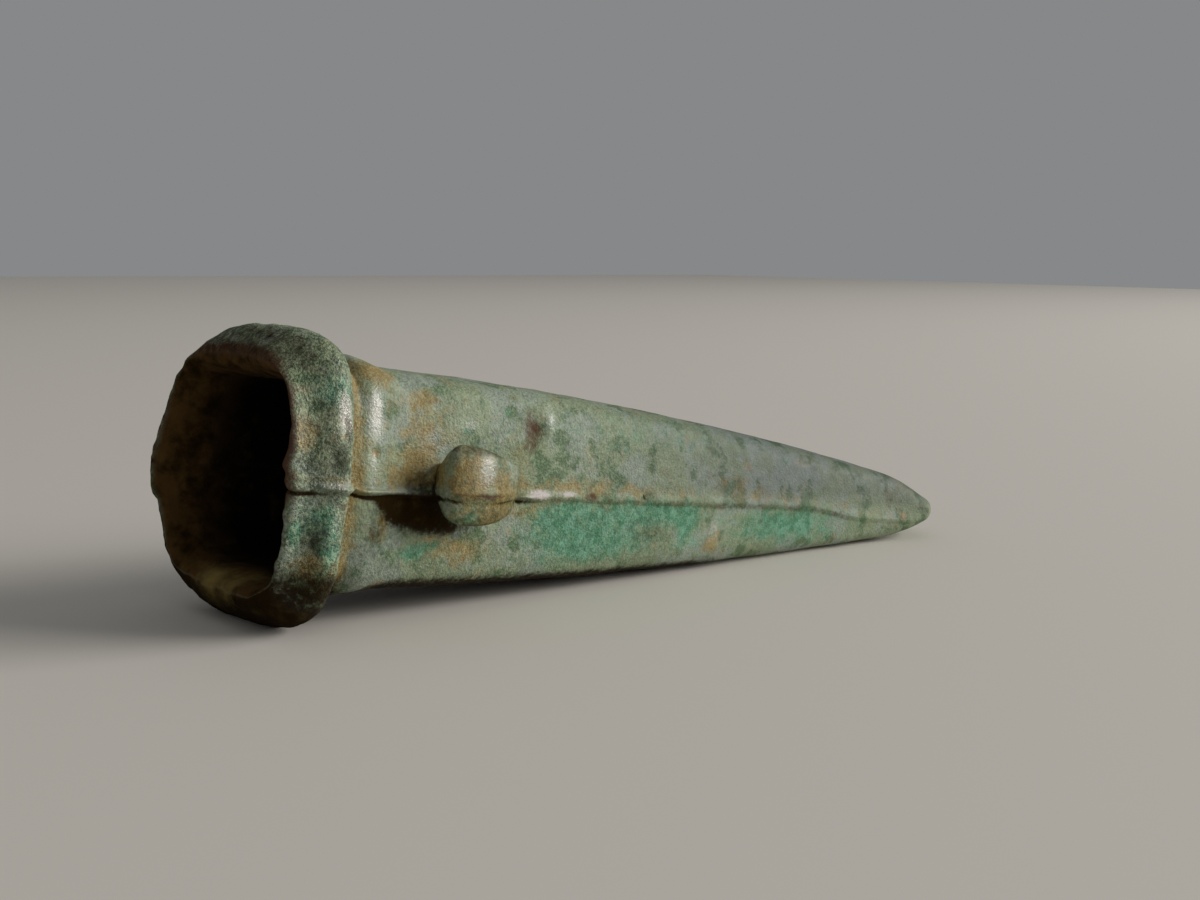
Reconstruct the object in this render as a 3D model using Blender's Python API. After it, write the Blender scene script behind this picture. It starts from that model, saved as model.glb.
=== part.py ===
"""Socketed bronze axe head, one hollow casting, lying on a broad face.

The casting is built along its own axis (X from the mouth to the cutting edge,
Y across, Z through its thickness), then tipped until the collar and the blade
both touch the surface that it lies on. The side loop is on the -Y flank.
The world origin is the bottom centre of the finished head.
"""

import math

import bmesh
import bpy
from mathutils import Matrix, Vector

MM = 0.001

# Wedge-shaped body
LENGTH = 131.0 * MM
BODY_HALF_WIDTH = 14.8 * MM
BLADE_FLARE = 2.4 * MM
BLADE_FLARE_POWER = 1.8
BLADE_START = 0.72 * LENGTH
BODY_HALF_THICKNESS = 14.2 * MM
BODY_TAPER = 10.75 * MM
EDGE_BEVEL = 2.2 * MM
EDGE_BEVEL_LENGTH = 14.0 * MM
EDGE_BEVEL_POWER = 1.7
EDGE_CURVE_LENGTH = 16.0 * MM
EDGE_SAG = 2.0 * MM
EDGE_CORNER_SAG = 5.0 * MM
EDGE_CORNER_POWER = 6
EDGE_ROUNDING = 1.4 * MM
EDGE_BLUNTNESS = 0.25
UPPER_TO_LOWER = 1.13
FLANK_RIDGE = 0.06
FACE_CROWN = 0.055
BODY_SQUARENESS = 7.0

# Collar round the mouth, its groove and the low moulding below it
COLLAR_LENGTH = 9.7 * MM
COLLAR_LEAD = 0.8 * MM
COLLAR_THICKENING = 4.3 * MM
COLLAR_FAR_BULGE = 3.2 * MM
COLLAR_ROUNDNESS = 0.72
COLLAR_LATENESS = 1.2
COLLAR_NEAR_BULGE = 4.1 * MM
COLLAR_LEDGE = 0.54
COLLAR_LEDGE_END = 1.0 * MM
COLLAR_NEAR_CREST = 4.6 * MM
COLLAR_NEAR_LENGTH = 8.0 * MM
COLLAR_NEAR_POWER = 3
COLLAR_UPPER_TO_LOWER = 1.03
LIP_SQUARENESS = 3.7
COLLAR_SQUARENESS = 4.6
COLLAR_TO_BODY = 8.0 * MM
MOULDING_OFFSET = 1.9 * MM
MOULDING_RISE_LENGTH = 1.9 * MM
MOULDING_FALL_LENGTH = 3.6 * MM
MOULDING_HEIGHT = 1.7 * MM
MOULDING_LOST_BELOW = 0.7
MOULDING_ON_FLANKS = 0.42
MOULDING_FLANK_RISE = 2.8 * MM
LIP_LENGTH = 3.3 * MM
LIP_POWER = 1.5
LIP_NEAR_INSET = 0.2 * MM
LIP_FAR_FLARE = 2.6 * MM
MOUTH_SKEW = 0.048
MOUTH_SKEW_LENGTH = 14.0 * MM
NEAR_LIP_REACH = 1.5 * MM
NEAR_LIP_FLARE = 2.1 * MM
NEAR_LIP_LENGTH = 5.0 * MM

# Socket for the haft
SOCKET_DEPTH = 90.0 * MM
WALL_AT_MOUTH = 1.4 * MM
FLANK_WALL_AT_FLOOR = 3.4 * MM
FACE_WALL_AT_FLOOR = 4.2 * MM
FUNNEL_FLARE = 1.5 * MM
FUNNEL_DEPTH = 5.0 * MM
FUNNEL_OPEN_SIDE = 2.5
SOCKET_SQUARENESS = 6.0

# Fins that the mould joint left down both flanks
FIN_HEIGHT = 0.55 * MM
FIN_HALF_WIDTH = 0.5 * MM
FIN_START = 1.0 * MM
FIN_GROWTH = 3.0 * MM
FIN_FADE_START = 0.5 * LENGTH
FIN_FADE_LENGTH = 0.45 * LENGTH
SEAM_DIP = 1.65 * MM
SEAM_DIP_LENGTH = 0.12 * LENGTH
LEAST_BELOW_SEAM = 0.4

# Side loop
LOOP_CENTRE = 28.4 * MM
LOOP_HALF_LENGTH = 6.9 * MM
LOOP_HEIGHT = 6.3 * MM
LOOP_LEAN = 3.6 * MM
LOOP_BOW = 0.75
LOOP_THICKNESS = 3.0 * MM
LOOP_HALF_WIDTH = 5.1 * MM
LOOP_FOOT_HALF_WIDTH = 2.4 * MM
LOOP_RISE = 1.5 * MM
LOOP_SPREAD = 1.1
LOOP_TILT = 0.12
LOOP_SQUARENESS = 3.0
LOOP_ROOT = 1.5 * MM

# Small flats worn where it lies
FLAT_DEPTH = 0.25 * MM

# Mesh density
WIDEST_FIN_FOOT = math.radians(6.0)
NO_HEIGHT = 1e-6
QUADRANT_STEPS = 12
CORNER_CROWDING = 1.5
COLLAR_STEPS = 14
MOULDING_STEPS = 8
BODY_STEPS = 18
BLADE_STEPS = 10
ROUNDING_STEPS = 3
FUNNEL_STEPS = 4
SOCKET_STEPS = 8
LOOP_STEPS = 22
LOOP_SECTION_STEPS = 20
SHARP_ANGLE = math.radians(40.0)
SLOPE_PASSES = 8


def clamp(value):
    return min(max(value, 0.0), 1.0)


def smooth_step(value):
    value = clamp(value)
    return value * value * (3.0 - 2.0 * value)


def spread(start, end, steps):
    """Evenly spaced values from start, without end."""
    return [start + (end - start) * i / steps for i in range(steps)]


def ring_directions(foot_above, foot_below):
    """Directions round one section from the near seam, with the feet of both fins.

    They are closest together at the four corners.
    """
    feet = [foot_above, math.pi - foot_above, math.pi + foot_below, 2 * math.pi - foot_below]
    found = []
    for quadrant in range(4):
        for t in spread(-1.0, 1.0, QUADRANT_STEPS):
            corner = 1.0 + math.copysign(abs(t) ** CORNER_CROWDING, t)
            found.append(math.pi / 2 * quadrant + math.pi / 4 * corner)
    return sorted(found + feet)


def collar_bulge(x):
    """1 at the collar's crest, 0 at its groove, part of the way up at the lip."""
    along = clamp((x + COLLAR_LEAD) / (COLLAR_LENGTH + COLLAR_LEAD))
    return max(math.sin(math.pi * along**COLLAR_LATENESS), 0.0) ** COLLAR_ROUNDNESS


def near_bulge(x):
    """The collar's profile on the near flank: a ledge at the lip, then a crest with a steep back."""
    rise = smooth_step((x - COLLAR_LEDGE_END) / (COLLAR_NEAR_CREST - COLLAR_LEDGE_END))
    past = clamp((x - COLLAR_NEAR_CREST) / (COLLAR_NEAR_LENGTH - COLLAR_NEAR_CREST))
    return (COLLAR_LEDGE + (1.0 - COLLAR_LEDGE) * rise) * (1.0 - past**COLLAR_NEAR_POWER)


def moulding(x, rise_length=MOULDING_RISE_LENGTH):
    """Height of the low ring that follows the groove."""
    away = x - COLLAR_LENGTH - MOULDING_OFFSET
    away /= rise_length if away < 0 else MOULDING_FALL_LENGTH
    return MOULDING_HEIGHT * math.exp(-away * away)


def collar_to_body(x):
    """0 along the collar, growing to 1 on the plain body."""
    return smooth_step((x - COLLAR_LENGTH) / COLLAR_TO_BODY)


def lip_blend(x):
    """1 at the very lip, fading to 0 along the collar."""
    return (1.0 - clamp(x / LIP_LENGTH)) ** LIP_POWER


def half_width(x, bulge, lip):
    """Distance from the axis to a flank, whose collar and lip stand out this far here."""
    along_blade = clamp((x - BLADE_START) / (LENGTH - BLADE_START))
    flare = BLADE_FLARE * along_blade**BLADE_FLARE_POWER
    ring = MOULDING_ON_FLANKS * moulding(x, MOULDING_FLANK_RISE)
    return BODY_HALF_WIDTH + flare + bulge + ring + lip * lip_blend(x)


def edge_rounding(x):
    """1 along the head, falling on a quarter circle over the blunt cutting edge."""
    into = clamp((x - LENGTH + EDGE_ROUNDING) / EDGE_ROUNDING)
    return math.sqrt(max(1.0 - into * into, 0.0))


def wedge_half_thickness(x):
    """Half of the thickness of the plain wedge, without collar or cutting edge."""
    return BODY_HALF_THICKNESS - BODY_TAPER * (x / LENGTH) ** 2


def half_thickness(x):
    """Mean of the heights of the upper and lower face over the axis."""
    along_bevel = clamp((x - LENGTH + EDGE_BEVEL_LENGTH) / EDGE_BEVEL_LENGTH)
    bevel = EDGE_BEVEL * along_bevel**EDGE_BEVEL_POWER
    ring = COLLAR_THICKENING * collar_bulge(x) + moulding(x)
    rounding = EDGE_BLUNTNESS + (1.0 - EDGE_BLUNTNESS) * edge_rounding(x)
    return (wedge_half_thickness(x) - bevel + ring) * rounding


def face_heights(x):
    """Heights of the upper face, the mould seam and the lower face."""
    mean = half_thickness(x)
    ratio = COLLAR_UPPER_TO_LOWER + (UPPER_TO_LOWER - COLLAR_UPPER_TO_LOWER) * collar_to_body(x)
    upper = 2.0 * mean * ratio / (1.0 + ratio)
    lower = -2.0 * mean / (1.0 + ratio)
    dip = SEAM_DIP * smooth_step((x - BLADE_START) / SEAM_DIP_LENGTH)
    return upper, max(-dip, lower * (1.0 - LEAST_BELOW_SEAM)), lower


def fin_height(x):
    """Grows from the lip, then sinks into the flank towards the cutting edge."""
    growth = smooth_step((x - FIN_START) / FIN_GROWTH)
    return FIN_HEIGHT * growth * (1.0 - smooth_step((x - FIN_FADE_START) / FIN_FADE_LENGTH))


def on_squircle(direction, squareness):
    """Point of a unit square with rounded corners in this direction."""
    across = math.cos(direction)
    up = math.sin(direction)
    reach = (abs(across) ** squareness + abs(up) ** squareness) ** (-1.0 / squareness)
    return across * reach, up * reach


def near_lip(x, across):
    """1 at the near lip, 0 at the far half and further in."""
    return smooth_step(across * 2.0) * (1.0 - clamp(x / NEAR_LIP_LENGTH)) ** 2


def mouth_shift(x, y, across):
    """How far the mouth's skew, and the reach of its near lip, move this point along the axis."""
    skew = MOUTH_SKEW * clamp(1.0 - x / MOUTH_SKEW_LENGTH)
    return -skew * y - NEAR_LIP_REACH * near_lip(x, across)


def outer_ring(x):
    """Closed section of the outside at this distance from the mouth."""
    upper, seam, lower = face_heights(x)
    lower += MOULDING_LOST_BELOW * moulding(x)
    body_share = collar_to_body(x)
    squarer = (COLLAR_SQUARENESS - LIP_SQUARENESS) * smooth_step(x / COLLAR_LENGTH)
    near = half_width(x, COLLAR_NEAR_BULGE * near_bulge(x), -LIP_NEAR_INSET)
    far = half_width(x, COLLAR_FAR_BULGE * collar_bulge(x), LIP_FAR_FLARE)
    foot_above = min(math.atan(FIN_HALF_WIDTH / (upper - seam)), WIDEST_FIN_FOOT)
    foot_below = min(math.atan(FIN_HALF_WIDTH / (seam - lower)), WIDEST_FIN_FOOT)
    edge_curve = clamp((x - LENGTH + EDGE_CURVE_LENGTH) / EDGE_CURVE_LENGTH)
    ring = []
    for direction in ring_directions(foot_above, foot_below):
        squareness = LIP_SQUARENESS + (squarer if direction < math.pi else 0.0)
        squareness += (BODY_SQUARENESS - squareness) * body_share
        across, up = on_squircle(direction, squareness)
        width = (near if across > 0 else far) * (1.0 - FLANK_RIDGE * abs(up))
        if math.isclose(up, 0.0, abs_tol=NO_HEIGHT):
            width += fin_height(x)
        height = seam + up * (upper - seam if up > 0 else seam - lower)
        height *= 1.0 + FACE_CROWN * (1.0 - across * across) * abs(up)
        y = -across * width
        sag = EDGE_SAG * across**2 + EDGE_CORNER_SAG * across**EDGE_CORNER_POWER
        ring.append(Vector((x - edge_curve * sag + mouth_shift(x, y, across), y, height)))
    return ring


def socket_ring(depth):
    """Closed section of the hollow at this depth, smaller towards its floor."""
    along = depth / SOCKET_DEPTH
    upper, _, lower = face_heights(depth)
    middle = (upper + lower) / 2.0
    funnel = FUNNEL_FLARE * (1.0 - clamp(depth / FUNNEL_DEPTH)) ** 2
    flank_wall = WALL_AT_MOUTH + (FLANK_WALL_AT_FLOOR - WALL_AT_MOUTH) * along
    face_wall = WALL_AT_MOUTH + (FACE_WALL_AT_FLOOR - WALL_AT_MOUTH) * along
    width = BODY_HALF_WIDTH - flank_wall
    height = wedge_half_thickness(depth) - face_wall + funnel
    ring = []
    for direction in ring_directions(WIDEST_FIN_FOOT, WIDEST_FIN_FOOT):
        across, up = on_squircle(direction, SOCKET_SQUARENESS)
        open_side = 1.0 - smooth_step(across * FUNNEL_OPEN_SIDE)
        y = -across * (width + funnel * open_side + NEAR_LIP_FLARE * near_lip(depth, across))
        ring.append(Vector((depth + mouth_shift(depth, y, across), y, middle + up * height)))
    return ring


def bridge(mesh, rings):
    """Faces between each ring of vertices and the next."""
    for one, other in zip(rings, rings[1:]):
        count = len(one)
        for i in range(count):
            j = (i + 1) % count
            mesh.faces.new((one[i], one[j], other[j], other[i]))


def close_edge(mesh, ring):
    """Strips across the blunt cutting edge, from its upper to its lower side."""
    for i in range(len(ring) // 2):
        corners = [ring[i], ring[i + 1], ring[-i - 1], ring[-i]]
        mesh.faces.new(list(dict.fromkeys(corners)))


def mesh_object(name, mesh, collection):
    """A new object from a bmesh, with its faces turned outwards."""
    bmesh.ops.recalc_face_normals(mesh, faces=mesh.faces)
    data = bpy.data.meshes.new(name)
    mesh.to_mesh(data)
    mesh.free()
    made = bpy.data.objects.new(name, data)
    collection.objects.link(made)
    return made


def outside_stations():
    """Distances from the mouth at which the outside has a section."""
    groove_end = COLLAR_LENGTH + COLLAR_TO_BODY
    blade = LENGTH - EDGE_CURVE_LENGTH
    round_start = LENGTH - EDGE_ROUNDING
    found = spread(0.0, COLLAR_LENGTH, COLLAR_STEPS)
    found += spread(COLLAR_LENGTH, groove_end, MOULDING_STEPS)
    found += spread(groove_end, blade, BODY_STEPS)
    found += spread(blade, round_start, BLADE_STEPS)
    for i in range(ROUNDING_STEPS + 1):
        found.append(round_start + EDGE_ROUNDING * math.sin(math.pi / 2 * i / ROUNDING_STEPS))
    return found


def make_casting(collection):
    """Body, collar and socket as one skin: cutting edge, outside, lip, hollow, floor."""
    mesh = bmesh.new()
    stations = outside_stations()
    points = [outer_ring(x) for x in reversed(stations)]
    depths = spread(0.0, FUNNEL_DEPTH, FUNNEL_STEPS)
    depths += spread(FUNNEL_DEPTH, SOCKET_DEPTH, SOCKET_STEPS)
    points += [socket_ring(depth) for depth in depths]
    points.append(socket_ring(SOCKET_DEPTH))
    rings = [[mesh.verts.new(point) for point in ring] for ring in points]
    bridge(mesh, rings)
    close_edge(mesh, rings[0])
    mesh.faces.new(rings[-1])
    return mesh_object("axe_head", mesh, collection)


def bowed(value):
    """A sine or cosine, made fuller so that the arch it draws has squarer shoulders."""
    return math.copysign(abs(value) ** LOOP_BOW, value)


def loop_section(angle):
    """Closed section of the loop strap at this angle along its arch, which leans towards the mouth."""
    reach = LOOP_HALF_LENGTH - LOOP_THICKNESS / 2
    height = LOOP_HEIGHT - LOOP_THICKNESS / 2
    crown = max(math.sin(angle), 0.0)
    width = LOOP_FOOT_HALF_WIDTH + (LOOP_HALF_WIDTH - LOOP_FOOT_HALF_WIDTH) * crown**LOOP_SPREAD
    tilted = width * (1.0 + LOOP_TILT * math.sin(2 * angle))
    section = []
    for direction in spread(0.0, 2 * math.pi, LOOP_SECTION_STEPS):
        across, up = on_squircle(direction, LOOP_SQUARENESS)
        outward = across * LOOP_THICKNESS / 2
        x = LOOP_CENTRE - bowed(math.cos(angle)) * (reach + outward) - LOOP_LEAN * math.sin(angle)
        rise = bowed(crown) * (height + outward)
        section.append(Vector((x, -BODY_HALF_WIDTH - rise, LOOP_RISE + up * (tilted if up > 0 else width))))
    return section


def make_loop(collection):
    """Strap of the side loop, with its feet rooted inside the flank."""
    mesh = bmesh.new()
    root = Vector((0.0, LOOP_ROOT, 0.0))
    sections = [loop_section(math.pi * i / LOOP_STEPS) for i in range(LOOP_STEPS + 1)]
    sections.insert(0, [point + root for point in sections[0]])
    sections.append([point + root for point in sections[-1]])
    rings = [[mesh.verts.new(point) for point in section] for section in sections]
    bridge(mesh, rings)
    mesh.faces.new(rings[0])
    mesh.faces.new(rings[-1])
    return mesh_object("loop_strap", mesh, collection)


def as_helper(helper):
    helper.hide_render = True
    helper.display_type = "WIRE"


def boolean(target, name, operation, other):
    modifier = target.modifiers.new(name, "BOOLEAN")
    modifier.operation = operation
    modifier.solver = "EXACT"
    modifier.object = other


def resting_slope(points):
    """Angle that lays the collar and the blade on one plane."""
    collar = [p for p in points if p.x < COLLAR_LENGTH]
    blade = [p for p in points if p.x > LENGTH / 2]
    slope = 0.0
    for _ in range(SLOPE_PASSES):
        down = Vector((-math.sin(slope), 0.0, math.cos(slope)))
        front = min(collar, key=down.dot)
        back = min(blade, key=down.dot)
        slope = math.atan((front.z - back.z) / (front.x - back.x))
    return slope


def lay_down(head, loop):
    """Tips the casting onto the surface and centres it over the origin."""
    points = [vertex.co.copy() for vertex in head.data.vertices]
    tip = Matrix.Rotation(resting_slope(points), 4, "Y")
    laid = [tip @ point for point in points]
    with_loop = laid + [tip @ vertex.co for vertex in loop.data.vertices]
    middle_x = (min(p.x for p in laid) + max(p.x for p in laid)) / 2
    middle_y = (min(p.y for p in with_loop) + max(p.y for p in with_loop)) / 2
    lowest = min(p.z for p in laid)
    place = Matrix.Translation((-middle_x, -middle_y, -lowest - FLAT_DEPTH)) @ tip
    head.matrix_world = place
    loop.matrix_world = place


def make_surface_cutter(collection):
    """Block under the surface, which takes the small flats off the casting."""
    mesh = bmesh.new()
    size = 2 * LENGTH
    bmesh.ops.create_cube(mesh, size=size)
    bmesh.ops.translate(mesh, verts=mesh.verts, vec=(0.0, 0.0, -size / 2))
    return mesh_object("surface_block", mesh, collection)


def patina():
    material = bpy.data.materials.new("patinated_bronze")
    material.use_nodes = True
    shader = material.node_tree.nodes["Principled BSDF"]
    shader.inputs["Base Color"].default_value = (0.19, 0.21, 0.15, 1.0)
    shader.inputs["Roughness"].default_value = 0.55
    shader.inputs["Metallic"].default_value = 0.15
    return material


def main():
    for old in list(bpy.data.objects):
        bpy.data.objects.remove(old)
    parts = bpy.data.collections.new("bronze_age_axe_head")
    cutters = bpy.data.collections.new("cutters")
    bpy.context.scene.collection.children.link(parts)
    bpy.context.scene.collection.children.link(cutters)

    head = make_casting(parts)
    loop = make_loop(cutters)
    surface = make_surface_cutter(cutters)
    lay_down(head, loop)
    as_helper(loop)
    as_helper(surface)
    boolean(head, "side loop", "UNION", loop)
    boolean(head, "resting flats", "DIFFERENCE", surface)

    head.data.materials.append(patina())
    head.data.shade_smooth()
    head.data.set_sharp_from_angle(angle=SHARP_ANGLE)


main()
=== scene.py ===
"""Socketed bronze axe head with its patina, on a plain floor.

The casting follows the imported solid's sections in a fine mesh, with the lumps, pits,
mould flash and broken lip of an old casting. Lengths are in metres where MM is written
out or nothing is said, and in millimetres where a comment says so.
"""

import math

import bmesh
import bpy
import numpy as np
from bpy.props import FloatProperty, FloatVectorProperty, PointerProperty
from mathutils import Matrix, Vector, noise


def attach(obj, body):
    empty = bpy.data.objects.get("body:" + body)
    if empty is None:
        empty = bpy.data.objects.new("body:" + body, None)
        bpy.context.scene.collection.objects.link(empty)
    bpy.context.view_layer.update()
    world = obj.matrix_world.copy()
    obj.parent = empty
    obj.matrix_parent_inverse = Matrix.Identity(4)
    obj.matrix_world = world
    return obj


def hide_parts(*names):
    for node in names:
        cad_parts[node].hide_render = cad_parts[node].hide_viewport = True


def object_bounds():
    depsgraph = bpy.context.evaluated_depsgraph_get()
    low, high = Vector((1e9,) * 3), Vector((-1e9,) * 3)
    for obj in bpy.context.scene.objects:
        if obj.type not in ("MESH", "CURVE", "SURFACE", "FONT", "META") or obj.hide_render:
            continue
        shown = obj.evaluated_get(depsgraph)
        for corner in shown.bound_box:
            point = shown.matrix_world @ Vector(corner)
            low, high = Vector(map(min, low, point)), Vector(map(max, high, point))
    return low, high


bl_info = {
    "name": "Socketed Axe Head",
    "version": (1, 0, 0),
    "blender": (4, 5, 0),
    "location": "View3D > Sidebar > Axe Head",
    "description": "Builds a patinated cast bronze axe head with a square socket and a side loop",
    "category": "Object",
}

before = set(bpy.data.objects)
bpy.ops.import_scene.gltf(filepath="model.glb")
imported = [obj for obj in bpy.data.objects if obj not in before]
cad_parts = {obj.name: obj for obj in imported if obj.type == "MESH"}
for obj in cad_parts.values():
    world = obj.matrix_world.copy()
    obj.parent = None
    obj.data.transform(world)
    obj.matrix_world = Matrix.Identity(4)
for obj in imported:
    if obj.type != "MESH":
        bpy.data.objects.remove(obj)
CAD_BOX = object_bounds()
NODE = "axe_head"

MM = 0.001

# Wedge-shaped body
BLADE_FLARE_POWER = 1.8
BLADE_START = 0.72
EDGE_BEVEL = 2.2 * MM
EDGE_BEVEL_LENGTH = 14.0 * MM
EDGE_BEVEL_POWER = 1.7
EDGE_CURVE_LENGTH = 16.0 * MM
EDGE_SAG = 2.0 * MM
EDGE_CORNER_SAG = 5.0 * MM
EDGE_CORNER_POWER = 6
EDGE_ROUNDING = 1.4 * MM
EDGE_BLUNTNESS = 0.25
UPPER_TO_LOWER = 1.13
FLANK_RIDGE = 0.06
FACE_CROWN = 0.055
BODY_SQUARENESS = 7.0

# Collar, groove and moulding
COLLAR_LEAD = 0.8 * MM
COLLAR_NEAR_BULGE = 4.1 * MM
COLLAR_FAR_BULGE = 3.2 * MM
COLLAR_ROUNDNESS = 0.72
COLLAR_LATENESS = 1.2
COLLAR_LEDGE = 0.54
COLLAR_LEDGE_END = 1.0 * MM
COLLAR_NEAR_CREST = 4.6 * MM
COLLAR_NEAR_LENGTH = 8.0 * MM
COLLAR_NEAR_POWER = 3
COLLAR_UPPER_TO_LOWER = 1.03
LIP_SQUARENESS = 3.7
COLLAR_SQUARENESS = 4.6
COLLAR_TO_BODY = 8.0 * MM
MOULDING_OFFSET = 1.9 * MM
MOULDING_RISE_LENGTH = 1.9 * MM
MOULDING_FALL_LENGTH = 3.6 * MM
MOULDING_LOST_BELOW = 0.7
MOULDING_ON_FLANKS = 0.42
MOULDING_FLANK_RISE = 2.8 * MM
LIP_LENGTH = 3.3 * MM
LIP_POWER = 1.5
LIP_NEAR_INSET = 0.2 * MM
LIP_FAR_FLARE = 2.6 * MM
LIP_ROUNDING = 0.45 * MM
MOUTH_SKEW = 0.048
MOUTH_SKEW_LENGTH = 14.0 * MM
NEAR_LIP_REACH = 1.5 * MM
NEAR_LIP_FLARE = 2.1 * MM
NEAR_LIP_LENGTH = 5.0 * MM

# Socket
FLANK_WALL_AT_FLOOR = 3.4 * MM
FACE_WALL_AT_FLOOR = 4.2 * MM
FUNNEL_FLARE = 1.5 * MM
FUNNEL_DEPTH = 5.0 * MM
FUNNEL_OPEN_SIDE = 2.5
SOCKET_SQUARENESS = 6.0
FLOOR_RINGS = (0.94, 0.8, 0.5, 0.2)

# Mould seam, with its fin and the crevice under it
FIN_WIDTH = 0.34 * MM
FIN_WIDER_ON_COLLAR = 0.35
FIN_WANDER = 0.14 * MM
FIN_WANDER_LENGTH = 4.0 * MM
FIN_LIFT_ON_COLLAR = 0.45 * MM
FIN_RAG_LENGTH = 1.5 * MM
FIN_RAGGEDNESS = 0.6
FIN_LOST_AT_BLADE = 0.85
FIN_LOST_PAST_LOOP = 0.5
FIN_EXTRA_BY_LOOP = 0.35
FIN_START = 1.0 * MM
FIN_GROWTH = 3.0 * MM
FIN_FADE_START = 0.5
FIN_FADE_LENGTH = 0.45
CREVICE_DEPTH = 0.17 * MM
CREVICE_LOST_PAST_LOOP = 0.75
CREVICE_LOST_ON_COLLAR = 0.7
SEAM_DIP = 1.65 * MM
SEAM_DIP_LENGTH = 0.12
LEAST_BELOW_SEAM = 0.4

# Side loop
LOOP_CENTRE = 28.4 * MM
LOOP_HALF_LENGTH = 6.9 * MM
LOOP_LEAN = 3.6 * MM
LOOP_BOW = 0.75
LOOP_THICKNESS = 3.0 * MM
LOOP_FOOT_HALF_WIDTH = 2.4 * MM
LOOP_RISE = 1.5 * MM
LOOP_SPREAD = 1.1
LOOP_TILT = 0.12
LOOP_SQUARENESS = 3.0
LOOP_ROOT = 1.5 * MM
LOOP_FIN_RISE = 0.45 * MM
LOOP_FIN_HEIGHT = 0.42 * MM
LOOP_FIN_WANDER = 0.2 * MM
LOOP_FIN_RAG_LENGTH = 1.1 * MM
LOOP_CREVICE_DEPTH = 0.2 * MM

# The crease at the feet of the loop: how far from a foot's middle it is smoothed, and how often
CREASE_ALONG = 2.6 * MM
CREASE_UP = 4.6 * MM
CREASE_OUT = 0.35 * MM
CREASE_REACH = 0.75 * MM
CREASE_PASSES = 5

# Broken lip. The features from the knob on are in millimetres.
LIP_BREAK_LENGTH = 4.5 * MM
LIP_RADIUS = 16.0 * MM
LIP_BEAD = 0.34 * MM
KNOB_INSET = 0.75
KNOB_REACH = 0.3
CRACK_DEPTH = 0.6
LOWER_LIP_INSET = 0.35
FAR_SWELL = 1.5
FAR_SWELL_REACH = 1.0
FAR_SWELL_MIDDLE = -1.0
FAR_SWELL_ABOVE = 7.2
FAR_SWELL_BELOW = 4.4
FAR_HOLLOW = 0.5

# Noise layers: height and size in millimetres, and the seed of the noise
SMALL_CHIPS = (0.55, 2.1, 1)
BROAD_CHIPS = (0.7, 5.5, 2)
BROAD_WAVES = (0.38, 3.4, 3)
SMALL_WAVES = (0.24, 1.3, 4)
SWELLS = (0.16, 7.0, 11)
CRUST = (0.17, 2.4, 12)
GRAIN = (0.085, 0.95, 13)
SOCKET_LUMPS = (0.22, 3.2, 14)
LOOP_LUMPS = (0.12, 3.2, 23)
LOOP_GRAIN = (0.05, 1.2, 24)

# Pits, with their depth in millimetres
PIT_DEPTH = 0.24
PIT_SPACING = 2.3 * MM
PIT_RADIUS = 0.5 * MM
PIT_SEED = 15

# How coarse the crust is behind the collar, on which it is 1
BODY_COARSENESS = 0.42
BLADE_SMOOTHING = 0.24

FLAT_DEPTH = 0.25 * MM
SLOPE_PASSES = 8

# Mesh density
HALF_RING_POINTS = 132
RING_SAMPLES = 4001
RING_SQUARENESS = 5.0
SEAM_CROWDING = 2.4
SEAM_CROWDING_REACH = 0.08
NEAR_CROWDING = 0.35
LIP_STEPS = 8
LOOP_STEPS = 60
LOOP_SECTION_STEPS = 64

# Rings: distance from the mouth and the step that leads up to it, in millimetres
OUTSIDE_RINGS = ((5.5, 0.28), (9.0, 0.2), (17.0, 0.28), (40.0, 0.46), (117.0, 0.7))
EDGE_STEPS = (0.46, 0.28)
SOCKET_RINGS = ((6.0, 0.4), (30.0, 1.0))
SOCKET_LAST_STEP = 2.4


def smooth_step(value):
    value = np.clip(value, 0.0, 1.0)
    return value * value * (3.0 - 2.0 * value)


def bell(value):
    return np.exp(-value * value)


def ramp(value, start, length):
    """0 up to the start, then a smooth rise to 1 over the length, both in millimetres."""
    return smooth_step((value - start * MM) / (length * MM))


def hump(value, middle, reach):
    """1 at the middle, fading out on both sides of it, both in millimetres."""
    return bell((value - middle * MM) / (reach * MM))


def bowed(value):
    """A sine or cosine, made fuller so that the arch it draws has squarer shoulders."""
    return np.sign(value) * np.abs(value) ** LOOP_BOW


def on_squircle(direction, squareness):
    """Points of a unit square with rounded corners in these directions."""
    across = np.cos(direction)
    up = np.sin(direction)
    reach = (np.abs(across) ** squareness + np.abs(up) ** squareness) ** (-1.0 / squareness)
    return across * reach, up * reach


def point_grid(x, y, z):
    return np.stack(np.broadcast_arrays(x, y, z), axis=-1)


def near_lip(x, across):
    """1 at the near lip, 0 at the far half and further in."""
    return smooth_step(across * 2.0) * (1.0 - np.clip(x / NEAR_LIP_LENGTH, 0.0, 1.0)) ** 2


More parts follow.
